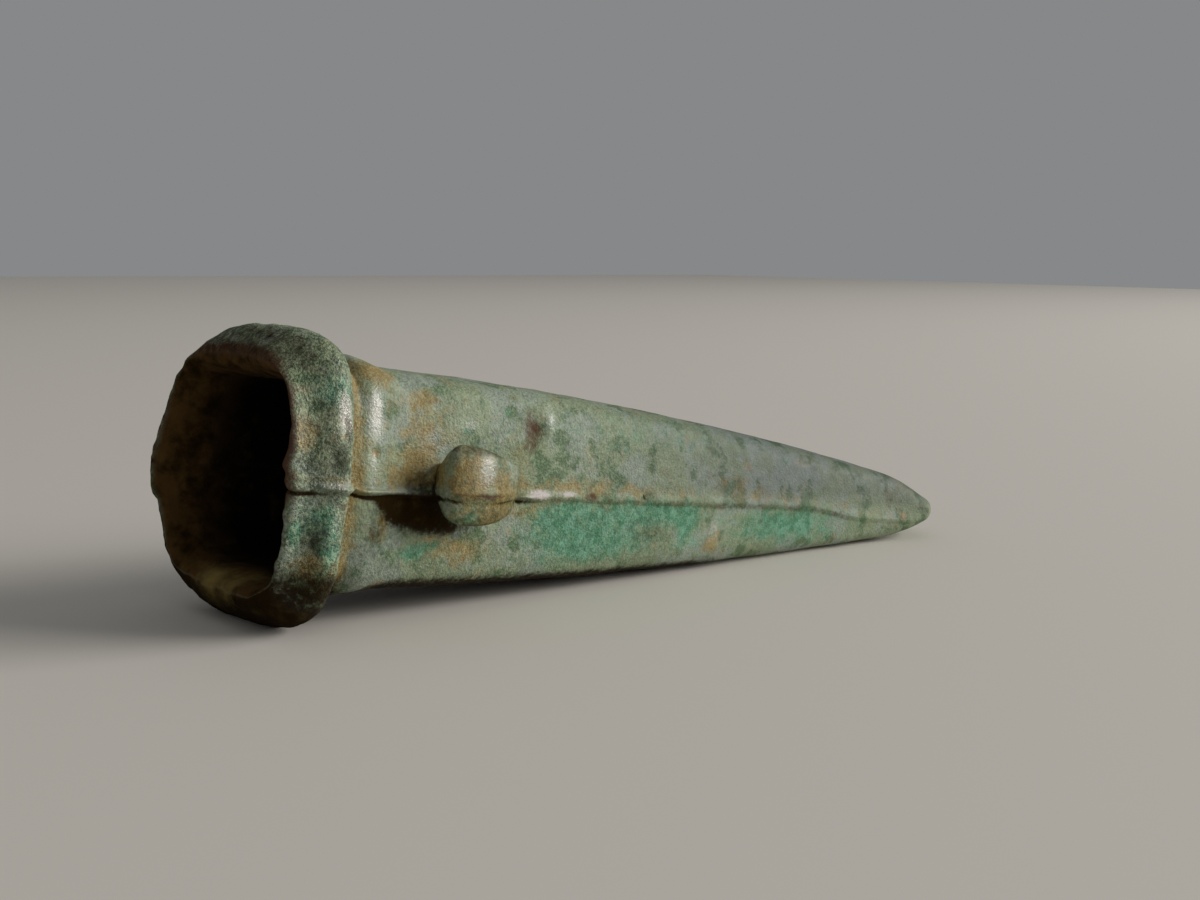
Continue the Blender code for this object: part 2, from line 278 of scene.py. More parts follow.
class CastingForm:
    """Sections of the plain casting: X from the mouth to the edge, near flank at -Y."""

    def __init__(self, sizes):
        for name in sizes.__annotations__:
            setattr(self, name, getattr(sizes, name))
        self.blade_start = BLADE_START * self.length

    def collar_bulge(self, x):
        along = np.clip((x + COLLAR_LEAD) / (self.collar_length + COLLAR_LEAD), 0.0, 1.0)
        return np.maximum(np.sin(math.pi * along**COLLAR_LATENESS), 0.0) ** COLLAR_ROUNDNESS

    def near_bulge(self, x):
        """The collar on the near flank: a ledge at the lip, then a crest with a steep back."""
        rise = smooth_step((x - COLLAR_LEDGE_END) / (COLLAR_NEAR_CREST - COLLAR_LEDGE_END))
        past = np.clip((x - COLLAR_NEAR_CREST) / (COLLAR_NEAR_LENGTH - COLLAR_NEAR_CREST), 0.0, 1.0)
        return (COLLAR_LEDGE + (1.0 - COLLAR_LEDGE) * rise) * (1.0 - past**COLLAR_NEAR_POWER)

    def moulding(self, x, rise_length=MOULDING_RISE_LENGTH):
        away = x - self.collar_length - MOULDING_OFFSET
        away = away / np.where(away < 0, rise_length, MOULDING_FALL_LENGTH)
        return self.moulding_height * bell(away)

    def collar_to_body(self, x):
        return smooth_step((x - self.collar_length) / COLLAR_TO_BODY)

    def width(self, x, near):
        """Distance from the axis to a flank."""
        along = np.clip((x - self.blade_start) / (self.length - self.blade_start), 0.0, 1.0)
        near_bulge = COLLAR_NEAR_BULGE * self.near_bulge(x)
        bulge = np.where(near, near_bulge, COLLAR_FAR_BULGE * self.collar_bulge(x))
        lip = (1.0 - np.clip(x / LIP_LENGTH, 0.0, 1.0)) ** LIP_POWER
        lip = np.where(near, -LIP_NEAR_INSET, LIP_FAR_FLARE) * lip
        flare = self.blade_flare * along**BLADE_FLARE_POWER
        moulding = MOULDING_ON_FLANKS * self.moulding(x, MOULDING_FLANK_RISE)
        return self.body_half_width + flare + bulge + moulding + lip

    def wedge(self, x):
        return self.body_half_thickness - self.body_taper * (x / self.length) ** 2

    def heights(self, x):
        """Heights of the upper face, the mould seam and the lower face."""
        along = np.clip((x - self.length + EDGE_BEVEL_LENGTH) / EDGE_BEVEL_LENGTH, 0.0, 1.0)
        bevel = EDGE_BEVEL * along**EDGE_BEVEL_POWER
        ring = self.collar_thickening * self.collar_bulge(x) + self.moulding(x)
        into = np.clip((x - self.length + EDGE_ROUNDING) / EDGE_ROUNDING, 0.0, 1.0)
        rounding = np.sqrt(np.maximum(1.0 - into * into, 0.0))
        mean = (self.wedge(x) - bevel + ring) * (EDGE_BLUNTNESS + (1.0 - EDGE_BLUNTNESS) * rounding)
        share = self.collar_to_body(x)
        ratio = COLLAR_UPPER_TO_LOWER + (UPPER_TO_LOWER - COLLAR_UPPER_TO_LOWER) * share
        lower = -2.0 * mean / (1.0 + ratio)
        dip = SEAM_DIP * smooth_step((x - self.blade_start) / (SEAM_DIP_LENGTH * self.length))
        return -lower * ratio, np.maximum(-dip, lower * (1.0 - LEAST_BELOW_SEAM)), lower

    def mouth_shift(self, x, y, across):
        """How far the mouth's skew and its near lip move these points along the axis."""
        skew = MOUTH_SKEW * np.clip(1.0 - x / MOUTH_SKEW_LENGTH, 0.0, 1.0)
        return -skew * y - NEAR_LIP_REACH * near_lip(x, across)

    def outside(self, x, direction):
        """Points of the outside at these distances from the mouth, in these directions."""
        upper, seam, lower = self.heights(x)
        back = smooth_step(x / self.collar_length) * (direction < math.pi)
        squareness = LIP_SQUARENESS + (COLLAR_SQUARENESS - LIP_SQUARENESS) * back
        squareness = squareness + (BODY_SQUARENESS - squareness) * self.collar_to_body(x)
        across, up = on_squircle(direction, squareness)
        ridge = FLANK_RIDGE * smooth_step((self.length - x) / EDGE_BEVEL_LENGTH)
        width = self.width(x, across > 0) * (1.0 - ridge * np.abs(up))
        lower = lower + MOULDING_LOST_BELOW * self.moulding(x)
        height = seam + up * np.where(up > 0, upper - seam, seam - lower)
        height = height * (1.0 + FACE_CROWN * (1.0 - across * across) * np.abs(up))
        y = -across * width
        curve = np.clip((x - self.length + EDGE_CURVE_LENGTH) / EDGE_CURVE_LENGTH, 0.0, 1.0)
        sag = EDGE_SAG * across**2 + EDGE_CORNER_SAG * across**EDGE_CORNER_POWER
        return point_grid(x - curve * sag + self.mouth_shift(x, y, across), y, height)

    def hollow(self, depth, direction):
        """Points of the socket's wall at these depths, in these directions."""
        along = depth / self.socket_depth
        upper, _, lower = self.heights(depth)
        funnel = FUNNEL_FLARE * (1.0 - np.clip(depth / FUNNEL_DEPTH, 0.0, 1.0)) ** 2
        flank_wall = self.wall_at_mouth + (FLANK_WALL_AT_FLOOR - self.wall_at_mouth) * along
        face_wall = self.wall_at_mouth + (FACE_WALL_AT_FLOOR - self.wall_at_mouth) * along
        across, up = on_squircle(direction, SOCKET_SQUARENESS)
        open_side = 1.0 - smooth_step(across * FUNNEL_OPEN_SIDE)
        flare = funnel * open_side + NEAR_LIP_FLARE * near_lip(depth, across)
        y = -across * (self.body_half_width - flank_wall + flare)
        height = (upper + lower) / 2.0 + up * (self.wedge(depth) - face_wall + funnel)
        return point_grid(depth + self.mouth_shift(depth, y, across), y, height)

    def loop(self, angle, direction):
        """Points of the strap, at these angles along its arch, in these directions round it."""
        reach = LOOP_HALF_LENGTH - LOOP_THICKNESS / 2
        crown = np.maximum(np.sin(angle), 0.0) ** LOOP_SPREAD
        width = LOOP_FOOT_HALF_WIDTH + (self.loop_half_width - LOOP_FOOT_HALF_WIDTH) * crown
        across, up = on_squircle(direction, LOOP_SQUARENESS)
        outward = across * LOOP_THICKNESS / 2
        x = LOOP_CENTRE - bowed(np.cos(angle)) * (reach + outward) - LOOP_LEAN * np.sin(angle)
        rise = bowed(np.sin(angle)) * (self.loop_height - LOOP_THICKNESS / 2 + outward)
        width = width * (1.0 + LOOP_TILT * np.sin(2 * angle) * (up > 0))
        return point_grid(x, -self.body_half_width - rise, LOOP_RISE + up * width)


def ring_directions():
    """Directions round a section: near seam, top, far seam, bottom. Closest at the seams."""
    fine = np.linspace(0.0, math.pi, RING_SAMPLES)
    across, up = on_squircle(fine, RING_SQUARENESS)
    step = np.hypot(np.diff(across), np.diff(up))
    up, across = (up[1:] + up[:-1]) / 2, (across[1:] + across[:-1]) / 2
    weight = step * (1.0 + SEAM_CROWDING * bell(up / SEAM_CROWDING_REACH))
    weight = weight * (1.0 + NEAR_CROWDING * smooth_step(across))
    total = np.concatenate([[0.0], np.cumsum(weight)])
    half = np.interp(np.linspace(0.0, total[-1], HALF_RING_POINTS + 1), total, fine)
    return np.concatenate([half[:-1], 2 * math.pi - half[:0:-1]])


def stations(start, rings, last_rings):
    """Distances from the start through rings in millimetres and then through ones in metres.

    Each ring is given with the step that leads up to it.
    """
    found = [start]
    for value, step in [*(np.array(rings) * MM), *last_rings]:
        count = max(1, round(abs(value - found[-1]) / step))
        found += list(np.linspace(found[-1], value, count + 1)[1:])
    return np.array(found)


def sampled(function, points, size, seed):
    """Values of a noise function at these points, for a pattern of this size."""
    shift = Vector((17.3 * seed, 5.1 * seed, -11.7 * seed))
    flat = points.reshape(-1, 3) / size
    return np.array([function(Vector(p) + shift) for p in flat]).reshape(points.shape[:-1])


def lumps(points, size, seed):
    return sampled(noise.noise, points, size, seed)


def layer(points, kind):
    """Rise of one of the noise layers above, in millimetres."""
    height, size, seed = kind
    return height * lumps(points, size * MM, seed)


def pit_shape(points):
    """1 in the middle of scattered small pits, 0 outside them."""
    away = sampled(lambda p: noise.voronoi(p)[0][0], points, PIT_SPACING, PIT_SEED)
    some = smooth_step(lumps(points, PIT_SPACING, PIT_SEED + 3) * 2.0 + 0.35)
    return smooth_step(1.0 - away * PIT_SPACING / PIT_RADIUS) * some


def grid_normals(points):
    """Outward directions on a grid of closed rings."""
    along = np.gradient(points, axis=0)
    around = np.roll(points, -1, axis=1) - np.roll(points, 1, axis=1)
    across = np.cross(around, along)
    return across / np.maximum(np.linalg.norm(across, axis=-1, keepdims=True), 1e-12)


def coarseness(x):
    """How rough the crust is: most on the collar, least on the blade."""
    body = BODY_COARSENESS - BLADE_SMOOTHING * ramp(x, 38, 50)
    return body + (1.0 - body) * (1.0 - ramp(x, 7, 3))


def past_loop(x):
    """0 up to the side loop, 1 past it."""
    return ramp(x, 37, 4)


def flash_line(x, side):
    """Height over the seam at which the fin runs: it wanders, and sits higher on the collar."""
    line = point_grid(x / FIN_WANDER_LENGTH, side * 3.0, 0.0)
    wander = FIN_WANDER * lumps(line, 1.0, 5)
    return wander + FIN_LIFT_ON_COLLAR * (1.0 - ramp(x, 8, 3))


def flash_height(form, x, side):
    """Height of the ragged fin that the mould joint left."""
    growth = smooth_step((x - FIN_START) / FIN_GROWTH)
    fade = smooth_step((x / form.length - FIN_FADE_START) / FIN_FADE_LENGTH)
    line = point_grid(x / FIN_RAG_LENGTH, side * 7.0, 0.0)
    ragged = 1.0 + FIN_RAGGEDNESS * lumps(line, 1.0, 9)
    kept = growth * (1.0 - FIN_LOST_AT_BLADE * fade) * (1.0 - FIN_LOST_PAST_LOOP * past_loop(x))
    by_loop = FIN_EXTRA_BY_LOOP * hump(x, 35.5, 3.2) * (side < 0)
    return form.fin_height * (kept + by_loop) * ragged


def seam_relief(form, x, above, side):
    """Fin and crevice of the seam, for points this far above it."""
    above = above - flash_line(x, side)
    past = past_loop(x)
    crevice = CREVICE_DEPTH * (1.0 - CREVICE_LOST_PAST_LOOP * past)
    crevice = crevice * (1.0 - CREVICE_LOST_ON_COLLAR * ramp(-x, -9, 1))
    collar = 1.0 - ramp(x, 8, 1)
    width = FIN_WIDTH * (1.0 + past + FIN_WIDER_ON_COLLAR * collar)
    fin = flash_height(form, x, side) * bell(above / width)
    return fin - crevice * hump(above, -0.75, 0.26)


# Marks on the near flank: along, up, half length, half height and depth in millimetres.
NEAR_MARKS = (
    (38.4, 8.8, 1.3, 2.6, 0.36),
    (40.8, 10.2, 1, 2.6, -0.34),
    (5.6, 8.7, 0.5, 0.9, 0.4),
    (6.4, 8.4, 0.35, 1, -0.18),
    (5.7, 6.9, 0.5, 0.8, 0.45),
    (6.5, 6.8, 0.35, 1, -0.18),
    (5.2, 11, 0.6, 0.7, 0.25),
    (4.6, 4.6, 0.8, 0.6, 0.18),
    (12.3, 4.8, 0.6, 0.7, 0.42),
    (60.2, 0.5, 0.8, 0.6, 0.55),
    (50.6, 0.4, 0.6, 0.5, 0.45),
    (19.5, 3.5, 3, 2, 0.16),
    (3, 3.4, 1.6, 1.4, -0.25),
    (30, -6.5, 4, 2.5, 0.12),
    (66, -5, 3, 2.5, -0.1),
    (24, 9.5, 3.5, 2, -0.1),
    (52, 6, 5, 2.5, 0.1),
)


def near_marks(points):
    """Depth of the dents, and height of the knobs, of the near flank."""
    x, z = points[..., 0] / MM, points[..., 2] / MM
    depth = np.zeros(x.shape)
    for along, up, half_length, half_height, deep in NEAR_MARKS:
        away = ((x - along) / half_length) ** 2 + ((z - up) / half_height) ** 2
        depth += deep * MM * np.exp(-away)
    return depth


def break_lip(points, direction, x):
    """Chips, waves and the uneven mould halves of the lip."""
    fade = np.clip(1.0 - x / LIP_BREAK_LENGTH, 0.0, 1.0) ** 2
    circle = point_grid(np.cos(direction), np.sin(direction), 0.0) * LIP_RADIUS
    far = 0.75 + 0.55 * smooth_step(-np.cos(direction) + 0.4)
    chips = np.maximum(layer(circle, SMALL_CHIPS), 0.0)
    chips = chips + np.maximum(layer(circle, BROAD_CHIPS), 0.0)
    waves = layer(circle, BROAD_WAVES) + layer(circle, SMALL_WAVES)
    y, z = points[..., 1], points[..., 2]
    near = ramp(-y, 9, 2)
    knob = hump(z, 3.3, 1.3) * near
    crack = hump(z, -0.1, 0.3) * near
    thin = ramp(-z, 0.2, 0.5) * near
    far_side = ramp(y, 11, 3)
    reach = np.where(z > FAR_SWELL_MIDDLE * MM, FAR_SWELL_ABOVE, FAR_SWELL_BELOW)
    swell = far_side * hump(z, FAR_SWELL_MIDDLE, reach)
    outward = points * (0.0, 1.0, 1.0)
    outward /= np.linalg.norm(outward, axis=-1, keepdims=True)
    radial = waves * far - KNOB_INSET * knob - LOWER_LIP_INSET * thin
    radial += FAR_SWELL * swell - FAR_HOLLOW * far_side * ramp(-z, 4.6, 0.8)
    inward = chips * far * (1.0 - swell) + CRACK_DEPTH * crack - KNOB_REACH * knob
    inward += LOWER_LIP_INSET * thin - FAR_SWELL_REACH * swell
    moved = points + outward * (radial * fade * MM)[..., None]
    moved[..., 0] += inward * fade * MM
    return moved


def casting_grid(form):
    """Rings from the cutting edge over the outside and the lip to the floor of the socket."""
    direction = ring_directions()[None, :]
    edge_rings = [
        (form.length - EDGE_ROUNDING, EDGE_STEPS[0] * MM),
        (form.length, EDGE_STEPS[1] * MM),
    ]
    x = stations(LIP_ROUNDING, OUTSIDE_RINGS, edge_rings)[::-1, None]
    outside = form.outside(x, direction)
    turn = np.linspace(0.0, math.pi, LIP_STEPS)[1:-1, None]
    lip_x = LIP_ROUNDING * (1.0 - np.sin(turn))
    share = (1.0 + np.cos(turn))[..., None] / 2
    lip = form.outside(lip_x, direction) * share + form.hollow(lip_x, direction) * (1.0 - share)
    last_rings = [(form.socket_depth, SOCKET_LAST_STEP * MM)]
    depth = stations(LIP_ROUNDING, SOCKET_RINGS, last_rings)[:, None]
    hollow = form.hollow(depth, direction)
    ends = hollow[-1:]
    middle = ends.mean(axis=1, keepdims=True)
    floor = np.concatenate([middle + (ends - middle) * size for size in FLOOR_RINGS])
    points = np.concatenate([outside, lip, hollow, floor])
    floor_x = np.full((len(floor), 1), form.socket_depth)
    along = np.concatenate([x, lip_x, depth, floor_x])
    inside = np.ones((len(hollow) + len(floor), 1))
    inner = np.concatenate([np.zeros(x.shape), 1.0 - share[..., 0], inside])
    return points, direction, along, inner


def age_casting(form, points, direction, along, inner):
    """The grid with its broken lip, fins and crust, and its shares of pits and lip."""
    points = break_lip(points, direction, along)
    normals = grid_normals(points)
    y, z = points[..., 1], points[..., 2]
    spread = np.ones(z.shape)
    rough = coarseness(along) * spread
    side = np.where(y < 0, -1.0, 1.0)
    seam = form.heights(along)[1]
    flank = smooth_step((np.abs(np.cos(direction)) - 0.75) / 0.15)
    outer = 1.0 - inner
    rise = layer(points, SWELLS) + inner * layer(points, SOCKET_LUMPS)
    rise += rough * (layer(points, CRUST) + layer(points, GRAIN))
    pits = pit_shape(points) * (0.25 + 0.75 * rough)
    rise -= PIT_DEPTH * pits * outer
    seams = seam_relief(form, along * spread, z - seam, side) * flank * outer
    edge = ramp(form.length - along, 0, 3)
    bead = LIP_BEAD * hump(along, 0.3, 1.1) * ramp(-y, 11, 3) * outer
    marks = near_marks(points) * ramp(-y, 9, 2) * outer
    rise = ((rise * MM + seams) * edge + bead - marks)[..., None]
    return points + normals * rise, pits * outer, hump(along, 0, 0.6) * spread


def grid_faces(rows, columns, close_start):
    """Quads of a grid of closed rings. One face closes each end, or strips the first one."""
    this = np.arange(columns)
    after = np.roll(this, -1)
    faces = []
    for row in range(rows - 1):
        base = row * columns
        below = base + columns
        quads = np.stack([base + this, below + this, below + after, base + after], axis=1)
        faces += quads.tolist()
    if close_start:
        for i in range(columns // 2):
            corners = [i, i + 1, (-i - 1) % columns, -i % columns]
            faces.append(list(dict.fromkeys(corners)))
    else:
        faces.append(this.tolist())
    faces.append(((rows - 1) * columns + this[::-1]).tolist())
    return faces


def store(data, name, value):
    """Keeps one number for each vertex, which the patina reads by this name."""
    kept = data.attributes.new(name, "FLOAT", "POINT")
    kept.data.foreach_set("value", np.ascontiguousarray(value.ravel(), np.float32))


def add_object(name, data):
    made = bpy.data.objects.new(name, data)
    bpy.context.scene.collection.objects.link(made)
    return made


def mesh_piece(name, points, faces, **values):
    """A closed mesh object, with a value at each point for every name given."""
    data = bpy.data.meshes.new(name)
    data.from_pydata(points.reshape(-1, 3).tolist(), [], faces)
    mesh = bmesh.new()
    mesh.from_mesh(data)
    bmesh.ops.recalc_face_normals(mesh, faces=mesh.faces)
    mesh.to_mesh(data)
    mesh.free()
    for key, value in values.items():
        store(data, key, value)
    return add_object(name, data)


def make_loop(form):
    """The strap of the side loop, with the fin over its crown and its feet inside the flank."""
    angle = np.linspace(0.0, math.pi, LOOP_STEPS + 1)[:, None]
    direction = np.linspace(0.0, 2 * math.pi, LOOP_SECTION_STEPS + 1)[None, :-1]
    points = form.loop(angle, direction)
    normals = -grid_normals(points)
    x, z = points[..., 0], points[..., 2]
    outer = smooth_step(np.cos(direction) * 2.0) * smooth_step(np.sin(angle) * 3.0)
    line = point_grid(x / LOOP_FIN_RAG_LENGTH, 2.0, 0.0)
    ragged = 0.75 + 0.9 * lumps(line, 1.0, 21)
    above = z - LOOP_FIN_RISE - LOOP_FIN_WANDER * lumps(line, 3.0, 22)
    rise = LOOP_FIN_HEIGHT * ragged * hump(above, 0, 0.33) * outer
    rise -= LOOP_CREVICE_DEPTH * hump(above, -0.75, 0.3) * outer
    rise += (layer(points, LOOP_LUMPS) + layer(points, LOOP_GRAIN)) * MM
    points = points + normals * rise[..., None]
    root = np.array((0.0, LOOP_ROOT, 0.0))
    points = np.concatenate([points[:1] + root, points, points[-1:] + root])
    faces = grid_faces(len(points), LOOP_SECTION_STEPS, False)
    none = np.zeros(points.shape[:2])
    return mesh_piece("loop_strap", points, faces, hollows=none, inner=none, lip=none)


def resting_slope(form, points):
    """Angle that lays the collar and the blade on one plane."""
    flat = points.reshape(-1, 3)
    collar = flat[flat[:, 0] < form.collar_length]
    blade = flat[flat[:, 0] > form.length / 2]
    slope = 0.0
    for _ in range(SLOPE_PASSES):
        down = np.array((-math.sin(slope), 0.0, math.cos(slope)))
        front = collar[np.argmin(collar @ down)]
        back = blade[np.argmin(blade @ down)]
        slope = math.atan((front[2] - back[2]) / (front[0] - back[0]))
    return slope


def resting_place(form, points):
    """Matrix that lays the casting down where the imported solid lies."""
    tip = Matrix.Rotation(resting_slope(form, points), 4, "Y")
    laid = points.reshape(-1, 3) @ np.array(tip.to_3x3()).T
    low, high = laid.min(axis=0), laid.max(axis=0)
    low[1] = -form.body_half_width - form.loop_height
    box_low, box_high = np.array(CAD_BOX[0]), np.array(CAD_BOX[1])
    shift = (box_low + box_high - low - high) / 2
    shift[2] = -low[2] - FLAT_DEPTH
    return Matrix.Translation(shift) @ tip


def unite(target, other):
    """Joins another mesh to the target as one skin, then removes that mesh's object."""
    modifier = target.modifiers.new("side loop", "BOOLEAN")
    modifier.operation = "UNION"
    modifier.solver = "MANIFOLD"
    modifier.object = other
    graph = bpy.context.evaluated_depsgraph_get()
    joined = bpy.data.meshes.new_from_object(target.evaluated_get(graph))
    target.modifiers.clear()
    unused = (target.data, other.data)
    target.data = joined
    bpy.data.objects.remove(other)
    for data in unused:
        bpy.data.meshes.remove(data)


def positions(data):
    """Positions of a mesh's vertices."""
    found = np.empty(len(data.vertices) * 3, np.float32)
    data.vertices.foreach_get("co", found)
    return found.reshape(-1, 3).astype(float)


def kept_values(data, name):
    """The numbers that a mesh keeps at its vertices by this name."""
    found = np.empty(len(data.vertices), np.float32)
    data.attributes[name].data.foreach_get("value", found)
    return found.astype(float)


def soften_feet(piece, form):
    """Rounds the crease where the strap's feet meet the flank, as the mould did."""
    mesh = bmesh.new()
    mesh.from_mesh(piece.data)
    foot = LOOP_HALF_LENGTH - LOOP_THICKNESS / 2
    near = []
    for vertex in mesh.verts:
        x, y, z = vertex.co
        beside = abs(abs(x - LOOP_CENTRE) - foot) < CREASE_ALONG and abs(z - LOOP_RISE) < CREASE_UP
        if beside and abs(y + form.body_half_width + CREASE_OUT) < CREASE_REACH:
            near.append(vertex)
    axes = {"use_axis_x": True, "use_axis_y": True, "use_axis_z": True}
    for _ in range(CREASE_PASSES):
        bmesh.ops.smooth_vert(mesh, verts=near, factor=0.5, **axes)
    mesh.to_mesh(piece.data)
    mesh.free()


# Where each finish gathers: middle along, across and up, reach along and up, and strength.
# The reach across is the usual one, or a seventh number. All in millimetres.
REACH_ACROSS = 3
EARTH = (
    (5.4, -18.8, 8.7, 0.7, 0.6, 1.3),
    (5.5, -18.8, 6.9, 0.6, 0.5, 1),
    (12.3, -15.6, 4.8, 0.5, 0.5, 1.3),
    (3.4, -17.5, -9.6, 2.6, 2.2, 1, 4),
    (4.6, -18.2, 1.6, 2, 0.6, 0.5),
    (23.2, -20, 3.2, 1.8, 3.4, 0.8),
    (28, -20.5, 1.5, 6, 5.5, 0.5),
    (13, -11, 15, 2.6, 2, 0.9, 6),
    (18.9, -14.5, 9, 6, 4.5, 0.5),
    (17, -15, 2.6, 3.6, 2.2, 0.6),
    (35.5, -15, 4, 2, 5, 0.35),
    (26.5, -14.5, -7.5, 6, 2.2, 0.7),
    (28.4, -20, -2.4, 5, 2.2, 0.6),
    (14.2, -15, -5, 1.2, 3, 0.6),
    (1, -17, 7.4, 1.6, 2.6, 0.9),
    (47, -15, 1.9, 12, 1.3, 0.22),
    (40, -15, -2, 6, 1.6, 0.5),
    (22.3, -18.5, 3, 1.4, 1.8, 0.8),
    (20.4, -15, 4.2, 2.4, 3, 0.45),
    (20, -14, 12.4, 2.6, 1.6, 0.32),
    (75.5, -14.2, -6.2, 2.6, 2.2, 0.7),
    (79, -14.2, 3.5, 14, 1.6, 0.3),
)
GREEN = (
    (3.4, -18.4, -2.9, 2.2, 1.6, 0.75),
    (0.9, -17, -5.4, 1.3, 2.2, 0.8),
    (5, -18, -7, 1.6, 3.2, 0.85),
    (3, -18, 12.6, 2.4, 2, 0.5),
    (5, -18.4, 13, 2.6, 2.4, 0.5),
    (19.6, -14.2, -8.2, 2.6, 1.1, 0.75),
    (22.4, -14.2, -7, 2.2, 0.8, 0.65),
    (47, -14.6, -5.4, 9, 4.6, 0.9),
    (46, -14.6, -2.2, 5, 1.6, 0.6),
    (62, -14.6, -1.8, 8, 2, 0.8),
    (69, -14.6, -4, 2.4, 3.4, 0.7),
    (58, -14.6, -6, 9, 2.4, 0.4),
    (91, -14.6, -3.2, 14, 3.4, 0.75),
    (24, -18.8, -2, 1.3, 1.2, 0.9),
    (31.6, -20, 3, 1, 2.6, 0.4),
    (60, -13, 9.5, 24, 3, 0.3, 4),
)
RUST = (
    (-1.2, -15.2, 6.5, 0.8, 8, 0.7, 2.4),
    (38, -14, 8.6, 2.1, 3.6, 0.85),
    (26, -21, 0.2, 2.2, 0.4, 0.6),
    (49.5, -15, 0.5, 1.2, 0.5, 0.8),
    (20.4, -14, 12.4, 1.6, 1.2, 0.45),
    (13, -15.6, -5.6, 0.9, 1.4, 0.6, 2),
    (14.5, -15, -1, 1.2, 1.2, 0.6, 2),
    # The next two, on the loop's upper and lower edges, are oxide and painted shade of the strap's
    # sides.
    (33, -17, 6.4, 2.6, 0.5, 0.7),
    (33, -17, -3.2, 3, 0.5, 0.9),
)
# Spots of wear with painted highlights: the patches on the moulding, the collar's crest, the near
# lip, the loop's crown and the scar's right side paint their highlights in a pale colour. Those on
# the seam and the flank are spots of wear.
WORN_AND_HIGHLIGHT = (
    (12, -15.6, 10.2, 1.4, 4.6, 1.2),
    (12.2, -15.6, 3.4, 1.2, 2.2, 0.5),
    (12, -15.6, -4, 1, 4, 0.5),
    (5.6, -18.5, 10, 1.3, 3.8, 1.25),
    (5.4, -18.5, -3.6, 0.9, 3.4, 0.6),
    (0.3, -17, 7, 1.4, 6, 0.6),
    (0.4, -17, -3.6, 1, 2.6, 0.45),
    (5, -18.8, 0.9, 3, 0.5, 0.5),
    (25.8, -20.8, 3.8, 1.9, 2.6, 1),
    (39.8, -15, 0.4, 2.3, 0.6, 0.3),
    (45, -15, 0.5, 2, 0.45, 0.3),
    (41.2, -14, 10.4, 1.1, 2.6, 0.75),
    (75, -14.6, -4, 2.6, 3.6, 0.75),
    (27, -14.4, 9.2, 2, 0.9, 0.6),
    (22, -14.5, 7, 3.5, 2, 0.4),
    (4.6, -17.8, 0.9, 2.6, 0.4, 0.4),
    (17, -15.4, 0.35, 5, 0.25, 0.6),
)
BLOOM = (
    (39.6, -15, 0.3, 2.4, 1.1, 0.95),
    (44.8, -15, 0.5, 2.2, 0.7, 0.8),
)
CRUMBS = (
    (1.6, 3, -14.6, 2.2, 2, 0.95, 4),
    (2, -4, -14, 2.6, 2, 0.6, 3.4),
)
# Dark crust with painted shade: the patches on the side loop, its edges and feet, and those low on
# the collar paint shade. The rest are dark green crust.
DEEP_AND_SHADE = (
    (28.4, -20, 1, 7, 6, 0.3),
    (28.4, -20, -2.4, 6, 2, 0.3),
    (23, -18.5, 2, 1.4, 5, 0.5),
    (33.5, -18.5, 2, 1.4, 5, 0.45),
    (28, -20, 6.4, 5, 0.9, 0.6),
    (3.2, -18, -6.2, 1.3, 2.4, 0.8),
    (4, -17.5, -12, 5, 2.6, 0.7, 5),
    (5.2, -18.5, 4, 1.6, 2.2, 0.8),
    (61.5, -14.6, -4.8, 4.5, 2.4, 0.42),
    (13.6, -15, -5.4, 1.6, 4, 0.3),
    (6.6, -18, -4, 1.4, 3, 0.3),
    (12.4, -15.2, -5, 2.6, 5, 0.28),
)
# Soil with painted shadow: the patches round the side loop paint its cast shadow and the shade
# under and behind it, together with soil. The last two are soil in a lip crack and a dark spot on
# the seam.
DIRT_AND_SHADE = (
    (20, -15, -2.2, 4.8, 2.1, 1.35),
    (15, -15, -1.1, 3.5, 0.8, 0.9),
    (16.2, -15, -2.8, 2.6, 1.6, 0.7),
    (19.6, -15.5, 1.6, 2.8, 1.8, 0.55, 2.6),
    (22, -16.4, 1.4, 1.1, 3.2, 0.7, 1.4),
    (21.5, -15, -4.4, 4.2, 1.7, 0.6),
    (25.6, -15.4, -5, 3, 1.4, 0.5),
    (26, -16.2, -3.9, 4, 0.9, 0.9, 1.4),
    (36.2, -15.6, 1, 0.8, 3, 0.4, 1.6),
    (28.3, -16, 1.4, 3.6, 3, 1, 1.6),
    (1.2, -16, -0.3, 1.6, 0.35, 1),
    (59.8, -15, 0.4, 0.9, 0.6, 0.9, 2),
)
PATCHES = {
    "earth": EARTH,
    "green": GREEN,
    "rust": RUST,
    "worn": WORN_AND_HIGHLIGHT,
    "bloom": BLOOM,
    "crumbs": CRUMBS,
    "deep": DEEP_AND_SHADE,
    "dirt": DIRT_AND_SHADE,
}


def gathered(points, patches):
    """How much of a finish these patches bring to each point."""
    share = np.zeros(len(points))
    for along, across, up, reach, reach_up, strength, *reach_across in patches:
        wide = (reach, *(reach_across or [REACH_ACROSS]), reach_up)
        away = ((points / MM - np.array((along, across, up))) / np.array(wide)) ** 2
        share += strength * np.exp(-away.sum(axis=1))
    return share


# How much of each finish the features of the casting hold
HELD = {
    "earth": {"groove": 0.7, "over fin": 0.2, "over late fin": 0.12},
    # Oxide on the loop's edges (rim) is partly painted shade of the strap's sides.
    "rust": {"lip": 0.62, "crest": 0.4, "crevice": 0.5, "late fin": 0.45, "loop": 0.6, "rim": 0.45},
    # The fin's top is paler, partly as a painted highlight.
    "worn": {"fin": 0.35},
    # The crevice under the fin and the lower collar (below) take painted shade with the soil. The
    # band along the lower edge (foot) is darker towards the bottom, and the pits (hollows) hold
    # soil.
    "dirt": {"crevice": 1, "hollows": 0.7, "below": 0.8, "crest": 0.5, "far lip": 0.5, "foot": 0.9},
}


